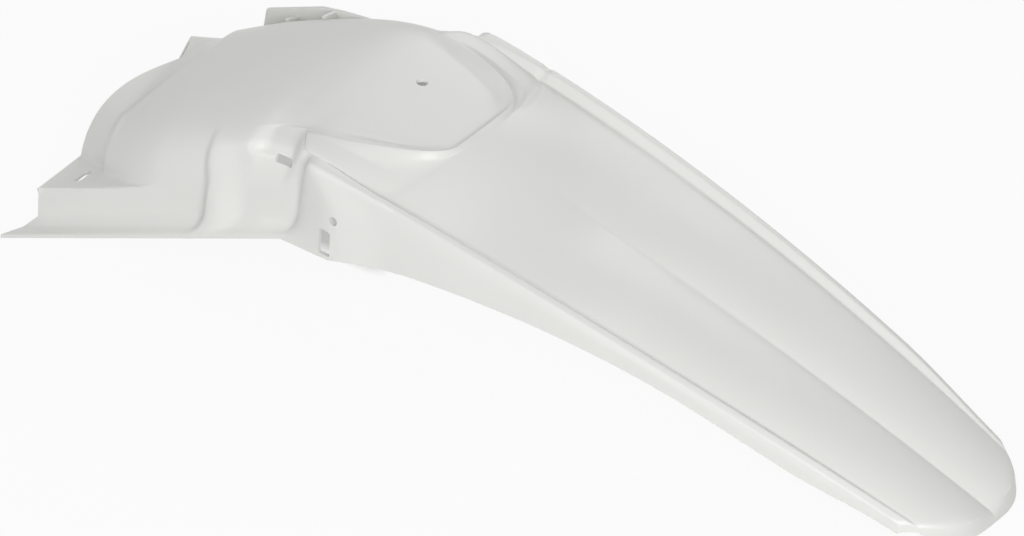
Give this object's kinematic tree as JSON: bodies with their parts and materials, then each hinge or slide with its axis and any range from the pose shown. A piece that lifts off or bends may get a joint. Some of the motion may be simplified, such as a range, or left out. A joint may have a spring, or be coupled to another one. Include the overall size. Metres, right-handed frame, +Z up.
{
  "type": "motorcycle rear fender",
  "caption": "Thin moulded rear fender with a domed wheel arch, side flanges, a stepped seat edge and a long two-lobed tail.",
  "frame": {"origin": "middle of the whole fender's length, on its centre plane, on the ground that it rests on", "axes": "+X towards the tip of the tail, the rear of the motorcycle; +Y towards the right of the motorcycle; +Z up"},
  "size_m": [0.8054, 0.238, 0.1729],
  "materials": {
    "shell": "smooth gloss white, moulded"
  },
  "bodies": {
    "root": {"rear_fender": "shell"}
  },
  "joints": []
}
